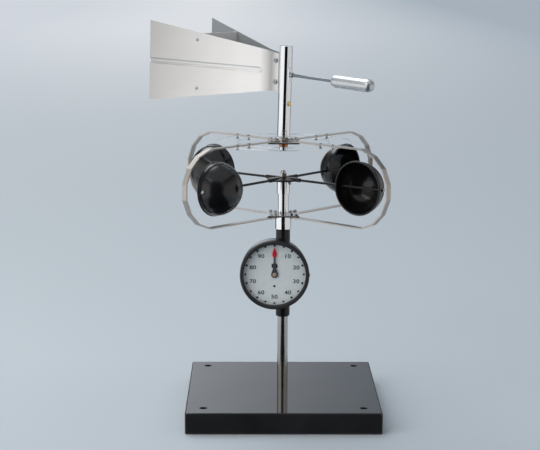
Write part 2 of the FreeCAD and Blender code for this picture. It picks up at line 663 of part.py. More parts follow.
# steel clamp screw at the bottom, brass cheese-head above it
z, d, r = cuts[0]
s1 = cyld(r, (0, 0, z), d, 5.8)
s1 = s1.cut(hexagon(1.5, (4.6 * d[0], 4.6 * d[1], z), d, 3))
z, d, r = cuts[1]
s2 = pan_screw(r, 2.2, 1.5, (5.9 * d[0], 5.9 * d[1], z), d, 5.9, slot=0.6)
s2 = s2.cut(cyl(TUBE_R, 280, 300).cut(cyld(r, (0, 0, z), d, 12)))
save("tube_screws", group([place(s1).cut(cyl(PIN_R, 240, 299.6)), place(s2).cut(cyl(PIN_R, 240, 299.6))]))

tc = cyl(TUBE_RI, TUBE_Z1 - 3.5, TUBE_Z1 - 0.15)
tc = fillet(tc, 0.3, lambda e: e.BoundBox.ZMin > TUBE_Z1 - 0.2)
save("tube_cap", place(tc))

lug = box(TUBE_R - 0.9, 19.0, -LUG_T / 2, LUG_T / 2, LUG_Z0, LUG_Z1)
lug = lug.cut(cyl(TUBE_R, 250, 400))
lug = lug.fuse(box(-SEAT, 7.0, -LUG_T / 2, LUG_T / 2, ROD_Z - TONGUE_H / 2, ROD_Z + TONGUE_H / 2)).removeSplitter()
LUG_SCREWS = [(9.8, PL_ZM + 10.4), (9.8, PL_ZM - 9.6)]
for x, z in LUG_SCREWS:
    lug = lug.cut(cyld(1.25, (x, -10, z), (0, 1, 0), 20))
lug = lug.cut(cyld(ROD_R, (-10, 0, ROD_Z), (1, 0, 0), 10.0))
save("vane_lug", place(lug))

TS = math.tan(math.radians(PL_SPLAY))
CS = math.cos(math.radians(PL_SPLAY))
SN = math.sin(math.radians(PL_SPLAY))


def w_at(s):
    return PL_W0 + max(0.0, s - PL_S1) * TS


def h_at(s):
    return PL_H0 + (PL_H2 - PL_H0) * (s - 6.0) / (PL_S2 - 6.0)


rho = ((GROOVE_W / 2) ** 2 + GROOVE_D ** 2) / (2 * GROOVE_D)


def tail_plate(side):
    """side +1: towards +Y of the vane's own frame."""
    line = [(PL_S0, PL_W0), (PL_S1, PL_W0), (PL_S2 + 10, w_at(PL_S2 + 10))]
    o = strip_outline(line, PL_T)
    sheet = prism([(x, y, PL_ZM - 60) for x, y in o], (0, 0, 120))
    trim = prism([(0, -5, PL_ZM - h_at(0)), (PL_S2, -5, PL_ZM - h_at(PL_S2)),
                  (PL_S2, -5, PL_ZM + h_at(PL_S2)), (0, -5, PL_ZM + h_at(0))], (0, 80, 0))
    pl = sheet.common(trim)
    # pressed groove along the mid-height, open at the rear edge
    g = (GROOVE_S, w_at(GROOVE_S) + PL_T / 2 / CS)          # on the outer face
    ax = (CS, SN, 0)
    nx = (-SN, CS, 0)                                       # outward
    off = rho - GROOVE_D
    P = (g[0] + 2.8 * ax[0] + nx[0] * off, g[1] + 2.8 * ax[1] + nx[1] * off, PL_ZM)
    L = (PL_S2 - GROOVE_S) / CS + 5
    ridge = cyld(rho + 0.75, P, ax, L).fuse(Part.makeSphere(rho + 0.75, V(*P)))
    inner = prism([(PL_S1 - 6, w_at(PL_S1) - 12, PL_ZM - 10), (PL_S1 + 3, w_at(PL_S1 + 3), PL_ZM - 10),
                   (PL_S2, w_at(PL_S2), PL_ZM - 10), (PL_S2, w_at(PL_S2) - 12, PL_ZM - 10)], (0, 0, 20))
    ridge = ridge.common(inner)
    pl = pl.fuse(ridge)
    pl = pl.cut(cyld(rho, P, ax, L).fuse(Part.makeSphere(rho, V(*P))))
    for x, z in LUG_SCREWS:
        pl = pl.cut(cyld(1.25, (x, -10, z), (0, 1, 0), 20))
    for z in (PL_ZM - 23.3, PL_ZM + 23.3):
        q = (SPACER_S + 3.4, w_at(SPACER_S + 3.4), z)
        pl = pl.cut(cyld(0.9, (q[0] - nx[0] * 4, q[1] - nx[1] * 4, z), nx, 8))
    pl = pl.removeSplitter()
    if side < 0:
        pl = pl.mirror(V(0, 0, 0), V(0, 1, 0))
    return pl


near = tail_plate(1)
far = tail_plate(-1)
save("tail_plate_near", place(near))
save("tail_plate_far", place(far))

# spacer: a web across the tail with a flange riveted to each plate
hs = h_at(SPACER_S) - 0.6
wi = w_at(SPACER_S) - PL_T / 2 / CS
o = [(SPACER_S, -wi + 0.01), (SPACER_S, wi - 0.01)]
web = box(SPACER_S, SPACER_S + SPACER_T, -60, 60, PL_ZM - hs, PL_ZM + hs)
wedge = prism([(PL_S1, -PL_W0 + PL_T / 2 / CS, PL_ZM - 60), (PL_S2, -w_at(PL_S2) + PL_T / 2 / CS, PL_ZM - 60),
               (PL_S2, w_at(PL_S2) - PL_T / 2 / CS, PL_ZM - 60), (PL_S1, PL_W0 - PL_T / 2 / CS, PL_ZM - 60)], (0, 0, 120))
web = web.common(wedge)
spacer = web
for side in (1, -1):
    fl = strip_outline([(SPACER_S, w_at(SPACER_S)), (SPACER_S + SPACER_F, w_at(SPACER_S + SPACER_F))], 2 * (PL_T / 2 + SPACER_T))
    f = prism([(x, y, PL_ZM - hs) for x, y in fl], (0, 0, 2 * hs))
    f = f.common(box(SPACER_S, SPACER_S + SPACER_F, -60, 60, PL_ZM - hs, PL_ZM + hs))
    if side < 0:
        f = f.mirror(V(0, 0, 0), V(0, 1, 0))
    spacer = spacer.fuse(f.common(wedge))
# the groove's inner ridge passes through notches in the flanges and the web
for side in (1, -1):
    y = side * wi
    spacer = spacer.cut(box(SPACER_S - 1, SPACER_S + SPACER_F + 1, min(y, y - side * 4.5), max(y, y - side * 4.5) + 3, PL_ZM - 4.6, PL_ZM + 4.6)
                        if side > 0 else
                        box(SPACER_S - 1, SPACER_S + SPACER_F + 1, y - 3, y + 4.5, PL_ZM - 4.6, PL_ZM + 4.6))
rivets = []
for side in (1, -1):
    for z in (PL_ZM - 23.3, PL_ZM + 23.3):
        nx = (-SN, CS * 1.0, 0)
        q = (SPACER_S + 3.4, w_at(SPACER_S + 3.4), z)
        outp = (q[0] + nx[0] * PL_T / 2, q[1] + nx[1] * PL_T / 2, z)
        inp = (q[0] - nx[0] * (PL_T / 2 + SPACER_T), q[1] - nx[1] * (PL_T / 2 + SPACER_T), z)
        rv = pan_screw(0.9, 1.5, 0.6, outp, nx, PL_T + SPACER_T, slot=0.4)
        tail = Part.makeCylinder(1.3, 0.8, V(*inp), V(-nx[0], -nx[1], 0))
        rv = rv.fuse(tail).removeSplitter()
        hole = cyld(0.9, (q[0] - nx[0] * 6, q[1] - nx[1] * 6, z), nx, 12)
        if side < 0:
            rv = rv.mirror(V(0, 0, 0), V(0, 1, 0))
            hole = hole.mirror(V(0, 0, 0), V(0, 1, 0))
        spacer = spacer.cut(hole)
        rivets.append(rv)
spacer = spacer.removeSplitter()
save("vane_spacer", place(spacer))

# screws through the lug, with nuts on the far plate; rivets of the spacer
yo = PL_W0 + PL_T / 2
for x, z in LUG_SCREWS:
    rivets.append(pan_screw(1.25, 2.2, 1.4, (x, yo, z), (0, 1, 0), 2 * yo + 2.6, slot=0.5, cross=True))
save("vane_screws", group([place(s) for s in rivets]))

nuts = [nut(5.0, 1.25, (x, -yo, z), (0, -1, 0), 2.0) for x, z in LUG_SCREWS]
ln = cyld(2.25, (-SEAT, 0, ROD_Z), (-1, 0, 0), 3.4)
ln = ln.makeChamfer(0.35, [e for e in ln.Edges if e.Length > 10])
nuts.append(ln.cut(cyld(ROD_R, (0, 0, ROD_Z), (-1, 0, 0), 20)))
save("vane_nuts", group([place(s) for s in nuts]))

rod = cyld(ROD_R, (0, 0, ROD_Z), (-1, 0, 0), WT_D1 + 5.0)
save("counterweight_rod", place(rod))

wt = revolve([(0, WT_D1), (3.4, WT_D1), (4.6, WT_D1 + 0.6), (WT_R, WT_D1 + 3.2), (WT_R, WT_D2), (0, WT_D2)])
wt = wt.fuse(Part.makeSphere(WT_R, V(0, 0, WT_D2))).removeSplitter().cut(cyl(ROD_R, 0, WT_D1 + 5.0))
wt.rotate(V(0, 0, 0), V(0, 1, 0), -90)
wt.translate(V(0, 0, ROD_Z))
save("counterweight", place(wt))

print("nodes", len(TOTAL))
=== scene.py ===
import math

import bpy
import bmesh
from mathutils import Matrix, Vector


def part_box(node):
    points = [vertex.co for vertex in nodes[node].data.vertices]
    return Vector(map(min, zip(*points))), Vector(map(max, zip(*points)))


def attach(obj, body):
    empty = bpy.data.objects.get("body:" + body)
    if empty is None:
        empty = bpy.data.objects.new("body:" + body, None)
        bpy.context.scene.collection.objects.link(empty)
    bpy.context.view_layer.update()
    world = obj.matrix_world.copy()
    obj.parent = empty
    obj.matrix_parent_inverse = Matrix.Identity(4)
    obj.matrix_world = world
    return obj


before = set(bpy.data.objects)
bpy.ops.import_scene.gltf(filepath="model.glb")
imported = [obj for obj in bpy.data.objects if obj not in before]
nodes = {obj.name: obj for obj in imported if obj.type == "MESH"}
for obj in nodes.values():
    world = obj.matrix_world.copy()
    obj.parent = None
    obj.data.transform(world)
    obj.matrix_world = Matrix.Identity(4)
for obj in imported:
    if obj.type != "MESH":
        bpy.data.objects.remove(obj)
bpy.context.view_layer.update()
mm = 0.001

# ---------------------------------------------------------------------------
# material helpers
# ---------------------------------------------------------------------------


class Tree:
    """A node material with a Principled shader and short helpers."""

    def __init__(self, name):
        self.mat = bpy.data.materials.new(name)
        self.mat.use_nodes = True
        self.nt = self.mat.node_tree
        self.nt.nodes.clear()
        self.out = self.node("ShaderNodeOutputMaterial")
        self.bsdf = self.node("ShaderNodeBsdfPrincipled")
        self.link(self.bsdf.outputs[0], self.out.inputs["Surface"])
        self.tc = self.node("ShaderNodeTexCoord")

    def node(self, kind, **kw):
        n = self.nt.nodes.new(kind)
        for k, v in kw.items():
            setattr(n, k, v)
        return n

    def link(self, a, b):
        self.nt.links.new(a, b)

    def mapping(self, scale, rot=(0, 0, 0), loc=(0, 0, 0)):
        m = self.node("ShaderNodeMapping")
        m.inputs["Scale"].default_value = scale
        m.inputs["Rotation"].default_value = [math.radians(a) for a in rot]
        m.inputs["Location"].default_value = loc
        self.link(self.tc.outputs["Object"], m.inputs["Vector"])
        return m.outputs[0]

    def turned(self, rot, scale):
        """Turn the object's coordinates first, then stretch them."""
        a = self.node("ShaderNodeMapping", vector_type="POINT")
        a.inputs["Rotation"].default_value = [math.radians(x) for x in rot]
        self.link(self.tc.outputs["Object"], a.inputs["Vector"])
        b = self.node("ShaderNodeMapping")
        b.inputs["Scale"].default_value = scale
        self.link(a.outputs[0], b.inputs["Vector"])
        return b.outputs[0]

    def noise(self, vec, scale=1.0, detail=4.0, rough=0.55):
        n = self.node("ShaderNodeTexNoise")
        n.inputs["Scale"].default_value = scale
        n.inputs["Detail"].default_value = detail
        n.inputs["Roughness"].default_value = rough
        self.link(vec, n.inputs["Vector"])
        return n.outputs[0]

    def remap(self, v, a, b, lo=0.3, hi=0.7):
        m = self.node("ShaderNodeMapRange")
        m.inputs["From Min"].default_value = lo
        m.inputs["From Max"].default_value = hi
        m.inputs["To Min"].default_value = a
        m.inputs["To Max"].default_value = b
        self.link(v, m.inputs["Value"])
        return m.outputs[0]

    def math(self, op, a, b):
        m = self.node("ShaderNodeMath", operation=op)
        for i, x in enumerate((a, b)):
            if isinstance(x, (int, float)):
                m.inputs[i].default_value = x
            else:
                self.link(x, m.inputs[i])
        return m.outputs[0]

    def mix(self, fac, a, b):
        m = self.node("ShaderNodeMix", data_type="RGBA")
        if isinstance(fac, (int, float)):
            m.inputs[0].default_value = fac
        else:
            self.link(fac, m.inputs[0])
        for i, x in ((6, a), (7, b)):
            if isinstance(x, (tuple, list)):
                m.inputs[i].default_value = tuple(x)[:3] + (1.0,)
            else:
                self.link(x, m.inputs[i])
        return m.outputs[2]

    def bump(self, height, distance, strength=1.0, normal=None):
        b = self.node("ShaderNodeBump")
        b.inputs["Distance"].default_value = distance
        b.inputs["Strength"].default_value = strength
        self.link(height, b.inputs["Height"])
        if normal is not None:
            self.link(normal, b.inputs["Normal"])
        return b.outputs[0]

    def edge(self, radius, lo=0.02, hi=0.35):
        """0 on open faces, 1 on edges: the bevelled normal against the true one."""
        bv = self.node("ShaderNodeBevel")
        bv.samples = 4
        bv.inputs["Radius"].default_value = radius
        g = self.node("ShaderNodeNewGeometry")
        d = self.node("ShaderNodeVectorMath", operation="DOT_PRODUCT")
        self.link(bv.outputs[0], d.inputs[0])
        self.link(g.outputs["Normal"], d.inputs[1])
        inv = self.math("SUBTRACT", 1.0, d.outputs["Value"])
        return self.remap(inv, 0.0, 1.0, lo, hi)

    def round_normal(self, radius):
        bv = self.node("ShaderNodeBevel")
        bv.samples = 4
        bv.inputs["Radius"].default_value = radius
        return bv.outputs[0]

    def set(self, **kw):
        for k, v in kw.items():
            s = self.bsdf.inputs[k.replace("_", " ")]
            if hasattr(v, "is_output") or isinstance(v, bpy.types.NodeSocket):
                self.link(v, s)
            else:
                s.default_value = v if not isinstance(v, (tuple, list)) or len(v) != 3 else tuple(v) + (1.0,)


def metal(name, dark, light, rough=0.25, rvar=0.08, rot=(0, 0, 0), stretch=(60, 60, 2500), grain=0.000004,
          wear=0.0, rounding=0.00012, smudge=35.0, metallic=1.0, detail=5.0):
    """Metal with a directional finish, faint smudges and softened edges."""
    t = Tree(name)
    v = t.turned(rot, stretch)
    n = t.noise(v, 1.0, detail, 0.6)
    s = t.noise(t.mapping((smudge, smudge, smudge)), 1.0, 3.0)
    r = t.math("ADD", t.remap(n, rough - rvar, rough + rvar), t.remap(s, -rvar * 0.5, rvar * 0.5))
    col = t.mix(t.remap(n, 0.0, 1.0), dark, light)
    col = t.mix(t.remap(s, 0.0, 0.22), col, [c * 0.86 for c in dark])
    if wear:
        col = t.mix(t.math("MULTIPLY", t.edge(0.00025), wear), col, (0.95, 0.95, 0.95))
    t.set(Base_Color=col, Metallic=metallic, Roughness=r)
    nrm = t.round_normal(rounding) if rounding else None
    t.set(Normal=t.bump(n, grain, 1.0, nrm))
    return t


def gloss(name, color, rough=0.08, coat=0.6, wear=0.25, orange=0.000006, ior=1.5, dust=0.03, scale=260.0,
          rounding=0.0002):
    """Lacquer or moulded gloss: faint orange peel, fine dust, paler edges."""
    t = Tree(name)
    peel = t.noise(t.mapping((scale, scale, scale)), 1.0, 2.0)
    fine = t.noise(t.mapping((4200, 4200, 4200)), 1.0, 3.0, 0.7)
    big = t.noise(t.mapping((22, 22, 22)), 1.0, 3.0)
    col = t.mix(t.remap(big, 0.0, 1.0), color, [c * 1.5 + 0.002 for c in color])
    col = t.mix(t.math("MULTIPLY", t.remap(fine, 0.0, 1.0, 0.62, 0.75), dust * 3), col, (0.35, 0.35, 0.36))
    if wear:
        col = t.mix(t.math("MULTIPLY", t.edge(0.0003), wear), col, (0.16, 0.16, 0.17))
    r = t.math("ADD", t.remap(big, rough * 0.7, rough * 1.5), t.remap(fine, 0.0, 0.02))
    t.set(Base_Color=col, Metallic=0.0, Roughness=r, IOR=ior)
    if coat:
        t.set(Coat_Weight=coat, Coat_Roughness=0.02)
    t.set(Normal=t.bump(peel, orange, 1.0, t.round_normal(rounding)))
    return t


def assign(mat, *names):
    for n in names:
        o = nodes[n]
        o.data.materials.clear()
        o.data.materials.append(mat)


# ---------------------------------------------------------------------------
# materials
# ---------------------------------------------------------------------------
BASE = gloss("base_black_gloss", (0.014, 0.014, 0.0145), rough=0.035, coat=0.0, ior=1.5, wear=0.05,
             orange=0.0000006, dust=0.006, rounding=0.0003).mat
PAINT = gloss("gauge_black_paint", (0.006, 0.006, 0.007), rough=0.16, coat=0.0, ior=1.38, wear=0.08, dust=0.008).mat
BEZEL = gloss("bezel_satin_black", (0.020, 0.020, 0.022), rough=0.42, coat=0.0, ior=1.32, wear=0.10, dust=0.010).mat
CAP = metal("pointer_cap_brass", (0.50, 0.38, 0.27), (0.66, 0.52, 0.39), rough=0.45, rvar=0.05,
            stretch=(1400, 1400, 1400), grain=0.000002, rounding=0.00006, metallic=0.35).mat
CUP = gloss("cup_black_gloss", (0.0035, 0.0035, 0.004), rough=0.17, coat=0.0, wear=0.10, orange=0.000003,
            scale=420.0, dust=0.006).mat
BLACKED = metal("arm_blackened_steel", (0.014, 0.013, 0.013), (0.034, 0.033, 0.033), rough=0.26, rvar=0.06,
                stretch=(900, 900, 900), grain=0.000001, wear=0.12, metallic=0.7).mat
CHROME = metal("polished_chrome", (0.80, 0.81, 0.83), (0.88, 0.89, 0.90), rough=0.050, rvar=0.02,
               stretch=(30, 30, 1600), grain=0.0000004, smudge=60.0).mat
POLE = metal("satin_pole_steel", (0.47, 0.44, 0.41), (0.60, 0.565, 0.53), rough=0.17, rvar=0.04,
             stretch=(35, 35, 2400), grain=0.0000005).mat
STEEL = metal("strip_stainless_steel", (0.39, 0.365, 0.34), (0.435, 0.41, 0.385), rough=0.32, rvar=0.02,
              stretch=(120, 120, 120), grain=0.0000002, smudge=14.0, rounding=0.0).mat
PLATE = metal("plate_stainless_steel", (0.42, 0.42, 0.42), (0.54, 0.54, 0.54), rough=0.20, rvar=0.05,
              rot=(0, 0, 20), stretch=(60, 1600, 900), grain=0.000001, wear=0.1).mat
SCREW = metal("screw_steel", (0.30, 0.335, 0.35), (0.46, 0.495, 0.51), rough=0.28, rvar=0.07,
              stretch=(700, 700, 700), grain=0.0000006, wear=0.12, rounding=0.00006).mat
ROD = metal("rod_zinc_plated", (0.17, 0.195, 0.225), (0.26, 0.285, 0.32), rough=0.30, rvar=0.06,
            stretch=(900, 900, 900), grain=0.000001, rounding=0.00006).mat
NUTS = metal("nut_steel", (0.36, 0.36, 0.36), (0.54, 0.54, 0.54), rough=0.30, rvar=0.07,
             stretch=(500, 500, 1600), grain=0.000001, wear=0.2, rounding=0.00006).mat
DOME = metal("dome_nut_steel", (0.40, 0.37, 0.34), (0.62, 0.58, 0.54), rough=0.22, rvar=0.06,
             stretch=(500, 500, 1600), grain=0.000001, wear=0.2, rounding=0.00006).mat
BRASS = metal("brass", (0.62, 0.42, 0.14), (0.86, 0.66, 0.30), rough=0.24, rvar=0.08,
              stretch=(1400, 1400, 1400), grain=0.000004, wear=0.2, rounding=0.00006).mat
BRONZE = metal("bronze", (0.36, 0.13, 0.05), (0.62, 0.27, 0.12), rough=0.30, rvar=0.08,
               stretch=(100, 100, 3000), grain=0.000004, wear=0.2, rounding=0.00006).mat
COUNTER = metal("counterweight_aluminium", (0.52, 0.54, 0.56), (0.62, 0.64, 0.66), rough=0.30, rvar=0.04, metallic=0.85,
                rot=(0, 0, 47.6), stretch=(1500, 40, 40), grain=0.0000006).mat
LUG = metal("lug_aluminium", (0.60, 0.63, 0.67), (0.80, 0.83, 0.87), rough=0.28, rvar=0.07,
            stretch=(900, 900, 900), grain=0.000004, wear=0.3).mat

PLY = {"tail_plate_near": -(132.4 + 16.0), "tail_plate_far": -(132.4 - 16.0), "vane_spacer": -132.4 + 90}


VANE_AZ, LEAN, LEAN_Z, BEND = 132.4, 2.06, 262.0, 22.0
_ph = math.radians(180 - VANE_AZ)
ALONG = Matrix.Rotation(math.radians(LEAN), 3, Vector((math.sin(_ph), math.cos(_ph), 0))) @ Vector(
    (math.cos(math.radians(VANE_AZ)), math.sin(math.radians(VANE_AZ)), 0))


def along(t):
    """Distance along the vane from its pivot, in metres."""
    d = t.node("ShaderNodeVectorMath", operation="DOT_PRODUCT")
    t.link(t.tc.outputs["Object"], d.inputs[0])
    d.inputs[1].default_value = ALONG
    return t.math("SUBTRACT", d.outputs["Value"], LEAN_Z * mm * ALONG.z)


def vane_sheet(node, turn, side, dark, light, metallic, shade):
    """Rolled aluminium sheet: long fine grain lines, a few deeper scratches, a soft bend, and optional painted shade
    along its length.
    """
    t = Tree(node + "_brushed")
    v = t.turned((0, 0, turn), (14, 900, 1900))
    fine = t.noise(v, 1.0, 6.0, 0.65)
    band = t.noise(t.turned((0, 0, turn), (5, 60, 240)), 1.0, 4.0, 0.6)
    scr = t.noise(t.turned((3, 2, turn + 4), (30, 500, 1500)), 1.0, 2.0, 0.5)
    scr = t.remap(scr, 0.0, 1.0, 0.70, 0.80)
    smudge = t.noise(t.mapping((28, 28, 28)), 1.0, 4.0, 0.6)
    col = t.mix(t.remap(fine, 0.0, 1.0), dark, light)
    col = t.mix(t.remap(band, 0.0, 0.5), col, [(a + b) / 2 * 0.96 for a, b in zip(dark, light)])
    col = t.mix(t.math("MULTIPLY", scr, 0.25), col, (0.80, 0.80, 0.80))
    s = along(t)
    if shade:
        # painted shade: the sheet is painted darker towards the tail's open edge, darker still on the flange past the
        # bend, and a little darker at the lug end
        col = t.mix(t.remap(s, 0.0, 1.0, 0.050, 0.150), col, [c * shade for c in dark])
        col = t.mix(t.remap(s, 1.0, 0.0, 0.017, 0.029), col, [c * 0.55 for c in dark])
        col = t.mix(t.remap(s, 1.0, 0.0, 0.008, 0.015), col, [c * 0.92 for c in dark])
    r = t.math("ADD", t.remap(fine, 0.38, 0.52), t.remap(smudge, -0.03, 0.05))
    nrm = None
    if side:
        # the sheet's bend is a small radius: turn the normals across it
        a = math.radians(8.0) * side
        plate = t.remap(s, -a, 0.0, BEND * mm, (BEND + 6.5) * mm)
        flange = t.remap(s, 0.0, a, (BEND - 6.5) * mm, BEND * mm)
        on_plate = t.math("GREATER_THAN", s, BEND * mm)
        ang = t.math("ADD", t.math("MULTIPLY", plate, on_plate),
                     t.math("MULTIPLY", flange, t.math("SUBTRACT", 1.0, on_plate)))
        g = t.node("ShaderNodeNewGeometry")
        vr = t.node("ShaderNodeVectorRotate", rotation_type="Z_AXIS")
        t.link(g.outputs["Normal"], vr.inputs["Vector"])
        t.link(ang, vr.inputs["Angle"])
        nrm = vr.outputs[0]
    t.set(Base_Color=col, Metallic=metallic, Roughness=r)
    t.set(Normal=t.bump(t.math("ADD", fine, t.math("MULTIPLY", scr, -0.4)), 0.000003, 1.0, nrm))
    return t.mat


def dial_mat():
    """Silvered dial: fine blasted grain and a faint cloudiness."""
    t = Tree("dial_silver")
    g = t.noise(t.mapping((3000, 3000, 3000)), 1.0, 4.0, 0.7)
    c = t.noise(t.mapping((60, 60, 60)), 1.0, 4.0)
    col = t.mix(t.remap(g, 0.0, 1.0), (0.785, 0.83, 0.835), (0.875, 0.915, 0.92))
    col = t.mix(t.remap(c, 0.0, 0.2), col, (0.745, 0.79, 0.795))
    t.set(Base_Color=col, Metallic=0.0, Roughness=t.remap(g, 0.40, 0.55))
    t.set(Normal=t.bump(g, 0.000004, 1.0))
    return t.mat


def pointer_mat():
    """Red drop at the tip, blued steel stem."""
    t = Tree("pointer_red_and_blued")
    sep = t.node("ShaderNodeSeparateXYZ")
    t.link(t.tc.outputs["Object"], sep.inputs[0])
    z = t.remap(sep.outputs["Z"], 0.0, 1.0, (131.3 + 16.35) * mm, (131.3 + 16.5) * mm)
    n = t.noise(t.mapping((900, 900, 900)), 1.0, 4.0)
    blue = t.mix(t.remap(n, 0, 1), (0.12, 0.15, 0.19), (0.20, 0.235, 0.285))
    red = t.mix(t.remap(n, 0, 1), (0.68, 0.004, 0.010), (0.80, 0.008, 0.014))
    t.set(Base_Color=t.mix(z, blue, red), Metallic=t.math("MULTIPLY", t.math("SUBTRACT", 1.0, z), 0.75))
    t.set(Roughness=t.remap(n, 0.26, 0.42), Coat_Weight=0.2)
    t.set(Normal=t.bump(n, 0.000004, 1.0, t.round_normal(0.0001)))
    return t.mat


def glass_mat(name, tint, rough, clear, haze, rim=None):
    """Clear sheet: a thin mirror film over open sight, faint wipe marks, a paler rim."""
    t = Tree(name)
    n = t.noise(t.turned((0, 35, 0), (40, 40, 260)), 1.0, 4.0)
    alpha = t.remap(n, clear, clear + haze)
    if rim is not None:
        g = t.node("ShaderNodeNewGeometry")
        sep = t.node("ShaderNodeSeparateXYZ")
        t.link(g.outputs["True Normal"], sep.inputs[0])
        up = t.math("ABSOLUTE", sep.outputs["Z"], 0.0)
        wall = t.remap(up, rim, 0.0, 0.3, 0.6)
        alpha = t.math("ADD", alpha, wall)
    t.set(Base_Color=tint, Metallic=1.0, Roughness=t.remap(n, rough, rough + 0.04), Alpha=alpha)
    t.set(Normal=t.bump(n, 0.0000006, 0.5))
    return t.mat


def ink(name, color, rough=0.45):
    t = Tree(name)
    n = t.noise(t.mapping((5000, 5000, 5000)), 1.0, 4.0, 0.7)
    t.set(Base_Color=t.mix(t.remap(n, 0, 1), color, [c + 0.012 for c in color]), Roughness=t.remap(n, rough - 0.1, rough + 0.1))
    t.set(Normal=t.bump(n, 0.000003, 1.0))
    return t.mat


DIAL = dial_mat()
POINTER = pointer_mat()
GLASS = glass_mat("dial_glass_clear", (0.97, 0.985, 0.98), 0.02, 0.03, 0.02)
ACRYLIC = glass_mat("ring_clear_acrylic", (0.90, 0.92, 0.93), 0.16, 0.03, 0.02, 0.16)
INK = ink("dial_ink", (0.008, 0.008, 0.009))

assign(BASE, "base_plate")
assign(POLE, "pole")
assign(PAINT, "lower_neck", "upper_neck", "gauge_case", "rear_cover")
assign(BEZEL, "bezel")
assign(CUP, "cup_front_left", "cup_front_right", "cup_rear_left", "cup_rear_right")
assign(BLACKED, "rotor_arms", "rotor_hub")
assign(CHROME, "pivot_collar", "mast_collar", "rotor_post", "rotor_sleeve", "vane_tube", "tube_cap")
assign(STEEL, "hoop_front_left", "hoop_front_right", "hoop_rear_left", "hoop_rear_right")
assign(PLATE, "upper_cage_plate", "lower_cage_plate")
assign(SCREW, "cage_screws", "gauge_screws", "rotor_fasteners", "vane_screws", "pole_bolt", "pivot_pin",
       "rotor_spindle", "worm", "pinion", "middle_arbor", "pointer_arbor", "tube_screws")
assign(ROD, "counterweight_rod")
assign(NUTS, "cage_nuts", "vane_nuts")
assign(DOME, "hub_nut", "vane_bush_nut")
assign(BRASS, "movement_front_plate", "movement_back_plate", "movement_pillars", "worm_wheel", "centre_wheel")
assign(CAP, "pointer_cap")
assign(BRONZE, "vane_bush", "spindle_bearings")
assign(COUNTER, "counterweight")
assign(LUG, "vane_lug")
# one aluminium sheet in three tones: the far plate is painted darker as painted shade, and the spacer is painted paler
# and less metallic as painted light
assign(vane_sheet("tail_plate_near", PLY["tail_plate_near"], 1, (0.755, 0.745, 0.735), (0.855, 0.845, 0.835), 1.0, 0.64),
       "tail_plate_near")
assign(vane_sheet("tail_plate_far", PLY["tail_plate_far"], -1, (0.44, 0.46, 0.475), (0.54, 0.56, 0.575), 0.75, 0.0),
       "tail_plate_far")
assign(vane_sheet("vane_spacer", PLY["vane_spacer"], 0, (0.78, 0.765, 0.745), (0.90, 0.885, 0.865), 0.15, 0.0),
       "vane_spacer")
assign(DIAL, "dial_plate")
assign(POINTER, "pointer")
assign(GLASS, "dial_glass")
assign(ACRYLIC, "direction_ring")

# the upper of the tube's two clamp screws is brass
scr = nodes["tube_screws"]
scr.data.materials.append(BRASS)
for p in scr.data.polygons:
    if p.center.z > 0.280:
        p.material_index = 1

# smooth shading on curved faces, sharp edges kept
for o in nodes.values():
    me = o.data
    bpy.context.view_layer.objects.active = o
    for other in bpy.context.selected_objects:
        other.select_set(False)
    o.select_set(True)
    bpy.ops.object.shade_smooth_by_angle(angle=math.radians(14 if o.name.startswith('hoop') else 32))
    o.select_set(False)

# ---------------------------------------------------------------------------
# dial print
# ---------------------------------------------------------------------------
d_lo, d_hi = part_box("dial_plate")
GX = (d_lo.x + d_hi.x) / 2
GZ = (d_lo.z + d_hi.z) / 2
DY = d_lo.y                       # the dial's face
FILM = 0.02 * mm


def from_bm(bm, name, mat, body):
    me = bpy.data.meshes.new(name)
    bm.to_mesh(me)
    bm.free()
    me.materials.append(mat)
    o = bpy.data.objects.new(name, me)
    bpy.context.scene.collection.objects.link(o)
    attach(o, body)
    return o


def film(bm, pts):
    """A thin flat shape on the dial, from points (x, z) about the dial's centre, in mm."""
    lo = [bm.verts.new((GX + x * mm, DY - 0.001 * mm, GZ + z * mm)) for x, z in pts]
    hi = [bm.verts.new((GX + x * mm, DY - 0.001 * mm - FILM, GZ + z * mm)) for x, z in pts]
    n = len(pts)
    bm.faces.new(lo[::-1])
    bm.faces.new(hi)
    for i in range(n):
        bm.faces.new((lo[i], lo[(i + 1) % n], hi[(i + 1) % n], hi[i]))


bm = bmesh.new()
for k in range(20):
    a = math.radians(90 - 18 * k)
    c = (27.7 * math.cos(a), 27.7 * math.sin(a))
    if k == 10:
        film(bm, [(-1.25, -28.7), (1.25, -28.7), (0.0, -26.2)])
    else:
        r = 1.12 if k % 2 == 0 else 0.98
        film(bm, [(c[0] + r * math.cos(t), c[1] + r * math.sin(t)) for t in
                  [2 * math.pi * i / 28 for i in range(28)]])
film(bm, [(1.15 * math.cos(t), -11.4 + 1.15 * math.sin(t)) for t in [2 * math.pi * i / 32 for i in range(32)]])
bmesh.ops.recalc_face_normals(bm, faces=bm.faces)
from_bm(bm, "dial_dots", INK, "stand")

# fine minute divisions round the edge
bm = bmesh.new()
for k in range(100):
    if k % 5 == 0:
        continue
    a = math.radians(90 - 3.6 * k)
    ux, uz = math.cos(a), math.sin(a)
    w = 0.045
    film(bm, [(27.1 * ux - w * uz, 27.1 * uz + w * ux), (28.3 * ux - w * uz, 28.3 * uz + w * ux),
              (28.3 * ux + w * uz, 28.3 * uz - w * ux), (27.1 * ux + w * uz, 27.1 * uz - w * ux)])
bmesh.ops.recalc_face_normals(bm, faces=bm.faces)
from_bm(bm, "dial_divisions", INK, "stand")


